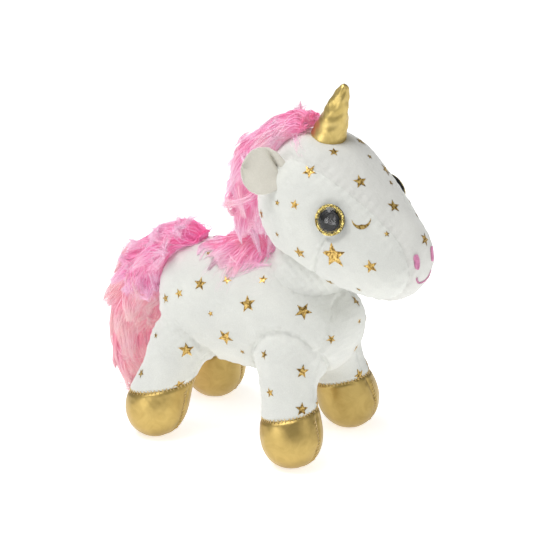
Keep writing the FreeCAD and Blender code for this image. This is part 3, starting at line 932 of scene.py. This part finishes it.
def foil_patch(bm, surface, centre, outline, turn):
    """Lays a flat outline on a surface, as a very thin printed layer."""
    spot, normal, _, _ = surface.find_nearest(centre)
    right = normal.cross(Vector((0, 0, 1)))
    right = right.normalized() if right.length > 0.2 else Vector((0, 1, 0)).cross(normal).normalized()
    up = right.cross(normal) * -1
    rings = []
    for share in (0.34, 0.67, 1.0):
        ring = []
        for x, y in outline:
            across, rise = x * math.cos(turn) - y * math.sin(turn), x * math.sin(turn) + y * math.cos(turn)
            ring.append(printed(bm, surface, spot + (right * across + up * rise) * share * MM))
        rings.append(ring)
    hub_vertex = bm.verts.new(spot + normal * FOIL_LIFT)
    count = len(outline)
    for k in range(count):
        bm.faces.new((hub_vertex, rings[0][k], rings[0][(k + 1) % count]))
        for a, b in zip(rings, rings[1:]):
            bm.faces.new((a[k], b[k], b[(k + 1) % count], a[(k + 1) % count]))


def both_flanks(stars):
    """The stars of the right flank, and others like them on the left."""
    right = [star for star in stars if star[1] < -5]
    return stars + [(x + 4 * rng.uniform(-1, 1), -y, z + 3 * rng.uniform(-1, 1), s) for x, y, z, s in right]


def print_stars(name, surface, stars, body=None, place=Matrix.Identity(4), seam_value=None):
    """A printed layer of stars; one that would lie across a sewn seam is left out."""
    bm = bmesh.new()
    for x, y, z, size in stars:
        centre = place @ mm(x, y, z)
        if seam_value is not None and seam_value(np.array([centre]))[0] < 2.5 * MM:
            continue
        foil_patch(bm, surface, centre, star_outline(STAR_SIZES[size]), rng.uniform(0, 2 * math.pi))
    return finished(mesh_object(name, bm), "print", body)


def make_stars(body, head):
    print_stars("torso_foil_stars", body, both_flanks(BODY_STARS), "torso", seam_value=near_leg)
    print_stars("head_foil_stars", head, both_flanks(HEAD_STARS), "head", place=HEAD_PLACE)
    bm = bmesh.new()
    for side in (1, -1):
        foil_moon(bm, head, HEAD_PLACE @ mm(MOON[0], side * MOON[1], MOON[2]), MOON_SIZE)
    finished(mesh_object("foil_moons", bm), "print", "head")
    for pair, side in LEGS:
        stars = [(x, -SIDES[side] * y, z, s) for x, y, z, s in LEG_STARS[pair]]
        blended(print_stars(f"{pair}_{side}_foil_stars", body, stars))


# --- horn and ears ---
def grid_mesh(name, rows, close):
    """A mesh through rows of points; close joins each row into a ring and caps both ends."""
    bm = bmesh.new()
    made = [[bm.verts.new(point) for point in row] for row in rows]
    for a, b in zip(made, made[1:]):
        strip(bm, a, b, close)
    if close:
        bm.faces.new(reversed(made[0]))
        bm.faces.new(made[-1])
    bmesh.ops.recalc_face_normals(bm, faces=bm.faces)
    return mesh_object(name, bm)


HORN_AXIS = HEAD_PLACE.to_3x3() @ Vector((12.5, 0, 37.5)).normalized()
HORN_LENGTH = 37.0 * MM
# shares of the length from the seam to the tip, and radii in millimetres
HORN_PROFILE = ((-0.2, 9.0), (-0.06, 11.6), (0.06, 10.9), (0.35, 8.7), (0.62, 6.3), (0.85, 3.9), (0.96, 2.6),
                (1.0, 1.3))


def make_horn():
    """The stuffed horn: a cone of gold fabric that folds and pinches towards its tip."""
    across = HORN_AXIS.orthogonal().normalized()
    other = HORN_AXIS.cross(across)
    rows = []
    for i in range(61):
        t = -0.2 + 1.2 * i / 60
        radius = np.interp(t, *zip(*HORN_PROFILE))
        row = []
        for k in range(72):
            turn = 2 * math.pi * k / 72
            fold = 0.07 * math.sin(3 * turn + 9 * t) + 0.05 * math.sin(5 * turn - 14 * t + 1)
            ring = 0.025 * math.sin(34 * t + 1.6 * math.sin(2 * turn) + 0.8 * math.sin(3 * turn + 2))
            pinch = 0.20 * max(0, t - 0.45) * math.cos(2 * turn + 1)
            reach = radius * (1 + max(t, 0) * 1.3 * fold + ring * (0.4 + t) + pinch)
            row.append(HORN_ROOT + HORN_AXIS * t * HORN_LENGTH + turned(across, other, turn) * reach * MM)
        rows.append(row)
    nodes = ("horn_cover", "horn_stuffing")
    horn = finished(grid_mesh("stuffed_horn", rows, True), "horn", "horn", nodes)


# shares of an ear's length from its root to its tip, and half widths in millimetres
EAR_OUTLINE = ((0.0, 8.0), (0.12, 10.5), (0.3, 14.0), (0.5, 15.4), (0.7, 14.2), (0.85, 11.0), (0.95, 6.4),
               (1.0, 1.5))
EAR_SWEEP, EAR_LENGTH = math.radians(52), 26.0


def make_ear(side):
    """A folded ear: two sewn layers, cupped, with a crease where its upper edge is gathered."""
    edge = Vector(joints[f"ear_{side}_flex"]["axis"]).normalized()
    edge = edge if edge.z < 0 else -edge
    out_and_back = HEAD_PLACE.to_3x3() @ Vector((-math.sin(EAR_SWEEP), SIDES[side] * math.cos(EAR_SWEEP), 0))
    tip = (out_and_back - edge * out_and_back.dot(edge)).normalized()
    face = tip.cross(edge).normalized()
    face = face if face.x > 0 else -face
    root = Vector(joints[f"ear_{side}_flex"]["pos_m"]) + mm(5, 0, -3)
    layers = (("inner", "lining", "ear_lining", 1), ("outer", "white", "velour_white", -1))
    for layer, material, slot, offset in layers:
        rows = []
        for i in range(29):
            t = i / 28
            wide = np.interp(t, *zip(*EAR_OUTLINE))
            row = []
            for k in range(33):
                u = -1 + 2 * k / 32
                puff = 2.1 * math.sqrt(max(0, 1 - u ** 2)) * math.sin(math.pi * min(1, 0.12 + 0.9 * t)) ** 0.6
                cup = 3.2 * u * u * (0.4 + 0.6 * t) - 1.2 * math.cos(2.4 * u) * (1 - t)
                crease = 5.2 * math.exp(-((u + 0.25 + 1.3 * t) / 0.14) ** 2)
                crease *= math.exp(-((t - 0.2) / 0.32) ** 2)
                out = offset * puff + cup - crease
                along = EAR_LENGTH * t - 1.5 * u * u * (1 - t)
                row.append(root + (tip * along + edge * (u * wide) + face * out) * MM)
            rows.append(row)
        sheet = grid_mesh(f"ear_{side}_{layer}_leaf", rows, False)
        with_modifier(sheet, "SOLIDIFY", thickness=0.9 * MM, offset=0.0)
        refined(sheet, 1)
        wrinkled(sheet.data, 0.22 * MM, 6 * MM, 11)
        finished(sheet, material, f"ear_{side}", (f"ear_{side}_{layer}_panel",))


# --- fur ---
MANE_SPINE = ((44, 224), (30, 227), (10, 220), (-8, 204), (-18, 180), (-26, 156), (-34, 124))
WITHERS_SPINE = ((10, 150), (-6, 140), (-22, 128), (-34, 112))
TAIL_UPPER_SPINE = ((-46, 130), (-60, 133), (-76, 128), (-92, 108), (-98, 92))
TAIL_LOWER_SPINE = ((-90, 104), (-97, 88), (-101, 70), (-103, 50), (-101, 30), (-97, 10))


def spine_flow(spine, points, place):
    """The way that fur lies at each of some points: along the nearest stretch of its spine."""
    line = np.array([place @ mm(x, 0, z) for x, z in spine])
    starts, spans = line[:-1], line[1:] - line[:-1]
    share = ((points[:, None] - starts) * spans).sum(2) / (spans ** 2).sum(1)
    nearest = starts + np.clip(share, 0, 1)[..., None] * spans
    chosen = np.linalg.norm(points[:, None] - nearest, axis=2).argmin(1)
    away = points - nearest[np.arange(len(points)), chosen]
    flow = spans[chosen] / np.linalg.norm(spans[chosen], axis=1, keepdims=True)
    return flow, away / np.maximum(np.linalg.norm(away, axis=1, keepdims=True), 1e-6)


def roots_on(mesh, count, local):
    """Random points spread evenly over a mesh, and their normals."""
    corners, normals, areas = [], [], []
    mesh.calc_loop_triangles()
    for triangle in mesh.loop_triangles:
        corners.append([mesh.vertices[i].co for i in triangle.vertices])
        normals.append(triangle.normal)
        areas.append(triangle.area)
    corners, normals, areas = np.array(corners), np.array(normals), np.array(areas)
    chosen = local.choice(len(areas), count, p=areas / areas.sum())
    a, b = local.random((2, count, 1))
    flip = (a + b) > 1
    a, b = np.where(flip, 1 - a, a), np.where(flip, 1 - b, b)
    c = corners[chosen]
    return c[:, 0] + a * (c[:, 1] - c[:, 0]) + b * (c[:, 2] - c[:, 0]), normals[chosen]


def grown(points, normals, spine, place, length, lift, droop, steps, wildness, local):
    """Hairs from their roots: each leaves along its normal, then lies along the spine and droops."""
    flow, away = spine_flow(spine, points, place)
    heading = normals * lift + flow + away * 0.45 + local.normal(size=points.shape) * wildness
    heading /= np.linalg.norm(heading, axis=1, keepdims=True)
    reach = length * local.uniform(0.7, 1.1, (len(points), 1))
    bend = local.normal(size=points.shape) * wildness * 0.6
    path = [points]
    for _ in range(steps):
        heading = heading + flow * 0.16 + bend + np.array((0, 0, -droop))
        heading /= np.linalg.norm(heading, axis=1, keepdims=True)
        path.append(path[-1] + heading * reach / steps)
    return np.stack(path, axis=1)


def label_points(mesh, along, strand):
    """Stores how far along its hair each point is, and a number for each hair."""
    for label, values in (("along", along), ("strand", strand)):
        mesh.attributes.new(label, "FLOAT", "POINT").data.foreach_set("value", np.float32(values))


def ribbons(name, paths, width, local):
    """Flat tapering hairs that follow paths."""
    count, steps, _ = paths.shape
    along = np.gradient(paths, axis=1)
    side = np.cross(along, local.normal(size=(count, 1, 3)))
    side /= np.maximum(np.linalg.norm(side, axis=2, keepdims=True), 1e-9)
    share = np.linspace(0, 1, steps)
    taper = (width * (1 - share ** 2.2 * 0.92))[None, :, None]
    thick = taper * local.uniform(0.7, 1.3, (count, 1, 1)) / 2
    points = np.stack([paths - side * thick, paths + side * thick], axis=2).reshape(-1, 3)
    first = (np.arange(count)[:, None] * steps * 2 + np.arange(steps - 1) * 2).ravel()
    faces = np.stack([first, first + 1, first + 3, first + 2], axis=1)
    mesh = bpy.data.meshes.new(name)
    mesh.from_pydata(points.tolist(), [], faces.tolist())
    label_points(mesh, np.tile(np.repeat(share, 2), count), np.repeat(local.random(count), steps * 2))
    return linked(name, mesh)


def make_fur(node, spine, material, body, hairs, locks, length, lift, droop, overhang, obstacles, seed,
             place=Matrix.Identity(4), inset=4.0, press=None, core=3.0):
    """The long pile of one tuft in pointed locks, over a soft core of the same colour."""
    local = np.random.default_rng(seed)
    hull_mesh = frame["nodes"][node].data
    source = pressed(hull_mesh, press, obstacles[0]) if press else hull_mesh
    steps = HAIR_STEPS
    points, normals = roots_on(source, hairs, local)
    centres, centre_normals = roots_on(source, locks, local)
    points, centres = points - normals * inset * MM, centres - centre_normals * inset * MM
    settings = (spine, place, length * MM, lift, droop, steps)
    paths = grown(points, normals, *settings, 0.16, local)
    guides = grown(centres, centre_normals, *settings, 0.34, local)
    guides[:, -1] += guides[:, -1] - guides[:, -2]
    order = np.empty(hairs, int)
    for start in range(0, hairs, 4000):
        gap = points[start:start + 4000, None] - centres
        order[start:start + 4000] = (gap ** 2).sum(2).argmin(1)
    pull = np.linspace(0, 1, steps + 1)[None, :, None] ** 1.1 * local.uniform(0.75, 0.98, (hairs, 1, 1))
    paths = paths * (1 - pull) + guides[order] * pull
    hull = surface_of(source)
    loose = np.interp(centres[:, 2] / MM, *overhang) * MM * local.uniform(0.15, 1.0, locks)
    for path, most in zip(paths, loose[order]):
        for i in range(1, steps + 1):
            path[i] = kept_between(path[i], hull, most * i / steps, obstacles)
    fur = ribbons(node + "_pile", paths, HAIR_WIDTH, local)
    finished(fur, material, body, (node,))
    heart = mesh_object(node + "_core", thickened(source, -core * MM, 0.05 * MM))
    every = np.ones(len(heart.data.vertices))
    label_points(heart.data, 0.2 * every, 0.3 * every)
    finished(heart, material, body)


def pressed(mesh, kept_at, skin):
    """A copy of a tuft's form, drawn towards the skin under it; kept_at gives heights and shares kept."""
    copy = mesh.copy()
    points = coordinates(copy)
    for i, point in enumerate(points):
        spot = skin.find_nearest(point)[0]
        points[i] = spot + (Vector(point) - spot) * np.interp(point[2] / MM, *kept_at)
    set_coordinates(copy, points)
    return copy


def kept_between(point, hull, most, obstacles):
    """Moves a point that stands too far out of a hull, or inside an obstacle, back to its limit."""
    spot, normal = hull.find_nearest(point)[:2]
    out = (Vector(point) - spot).dot(normal)
    if out > most:
        point = Vector(point) - normal * (out - most)
    for obstacle in obstacles:
        spot, normal = obstacle.find_nearest(point)[:2]
        out = (Vector(point) - spot).dot(normal)
        if out < FUR_OFF_SKIN:
            point = Vector(point) + normal * (FUR_OFF_SKIN - out)
    return Vector((point[0], point[1], max(point[2], FUR_OFF_FLOOR)))


# --- CAD parts that stay ---
def finish_cad_parts():
    kept = {"eye_dome": "dome", "eye_glitter_ring": "glitter", "eye_pupil": "pupil", "eye_shank": "pupil",
            "eye_washer": "nylon", "_backing": "tape", "_tape": "tape"}
    for node, obj in frame["nodes"].items():
        for ending, material in kept.items():
            if node.endswith(ending):
                obj.data.materials.clear()
                obj.data.materials.append(MATERIALS[material])


# --- floor, light and camera ---
AZIMUTH, ELEVATION, DISTANCE = math.radians(30), math.radians(21.5), 2.5
FOCAL_LENGTH = 252


def camera_axes():
    level = math.cos(ELEVATION)
    back = Vector((math.sin(AZIMUTH) * level, -math.cos(AZIMUTH) * level, math.sin(ELEVATION)))
    right = Vector((math.cos(AZIMUTH), math.sin(AZIMUTH), 0))
    return right, back.cross(right), back


def make_camera():
    right, up, back = camera_axes()
    camera = linked("camera", bpy.data.cameras.new("camera"))
    camera.data.lens = FOCAL_LENGTH
    camera.data.sensor_width = 36
    camera.location = mm(0, 0, 110) + right * 3.9 * MM + up * 0.65 * MM + back * DISTANCE
    camera.rotation_euler = back.to_track_quat("Z", "Y").to_euler()
    bpy.context.scene.camera = camera


def area_light(name, direction, size, energy, diffuse=True):
    """A rectangular light at a direction given by the camera's right, up and back."""
    light = bpy.data.lights.new(name, "AREA")
    light.shape = "RECTANGLE"
    light.size, light.size_y = size
    light.energy = energy
    lamp = linked(name, light)
    lamp.visible_diffuse = diffuse
    right, up, back = camera_axes()
    way = (right * direction[0] + up * direction[1] + back * direction[2]).normalized()
    lamp.location = mm(0, 0, 120) + way * 1.1
    lamp.rotation_euler = way.to_track_quat("Z", "Y").to_euler()


def make_studio():
    world = bpy.data.worlds.new("studio")
    world.use_nodes = True
    sky = world.node_tree.nodes["Background"].inputs
    sky["Color"].default_value = (1, 1, 1, 1)
    sky["Strength"].default_value = 0.33
    bpy.context.scene.world = world
    bpy.context.scene.view_settings.view_transform = "Standard"
    area_light("key", (-0.6, 1.2, 0.6), (0.7, 0.7), 9)
    area_light("fill", (1.0, 0.3, 0.8), (0.5, 0.9), 2.0)
    area_light("window", (-0.78, -0.12, 0.6), (0.5, 0.42), 2.6, diffuse=False)
    floor = Shader("pale_floor")
    floor.set(Base_Color=floor.ramp(floor.noise(3), [(0.3, 0.93), (0.7, 0.95)]), Roughness=0.9,
              Emission_Color=(1, 1, 1), Emission_Strength=0.62)
    bm = bmesh.new()
    bmesh.ops.create_grid(bm, x_segments=4, y_segments=4, size=6)
    plane = mesh_object("floor", bm)
    plane.data.materials.append(floor.material)


make_camera()
make_studio()
body_form = make_body_form()
head_form = make_head_form()
body_surface, head_surface = surface_of(body_form.data), surface_of(head_form.data)
make_body(body_form)
make_head(head_form)
for leg in LEGS:
    boot_stitches(body_surface, *leg)
    front_boot_stitches(body_surface, *leg)
embroidery(head_surface)
make_stars(body_surface, head_surface)
for form in (body_form, head_form):
    bpy.data.objects.remove(form)
make_horn()
for side in SIDES:
    make_ear(side)
skins = (head_surface, body_surface)
make_fur("mane_fur", MANE_SPINE, "mane", "head", place=HEAD_PLACE, hairs=19500, locks=200, length=36,
         lift=1.1, droop=0.12, overhang=((150, 185, 205, 222), (20, 16, 8, 4)), core=5.0,
         press=((195, 215), (1.0, 0.62)), obstacles=skins, seed=2)
make_fur("withers_fur", WITHERS_SPINE, "mane", "torso", hairs=11000, locks=90, length=32, lift=1.1,
         droop=0.22, overhang=((0,), (18,)), obstacles=skins[1:], seed=3)
make_fur("tail_upper_fur", TAIL_UPPER_SPINE, "tail", "tail_upper", hairs=15000, locks=120, length=36,
         lift=1.1, droop=0.05, overhang=((105, 125), (12, 9)), press=((98, 122), (1.0, 0.55)),
         obstacles=skins[1:], seed=4)
make_fur("tail_lower_fur", TAIL_LOWER_SPINE, "tail_low", "tail_lower", hairs=16000, locks=120, length=36,
         lift=1.0, droop=0.05, overhang=((0,), (10,)), obstacles=skins[1:], seed=5)
finish_cad_parts()
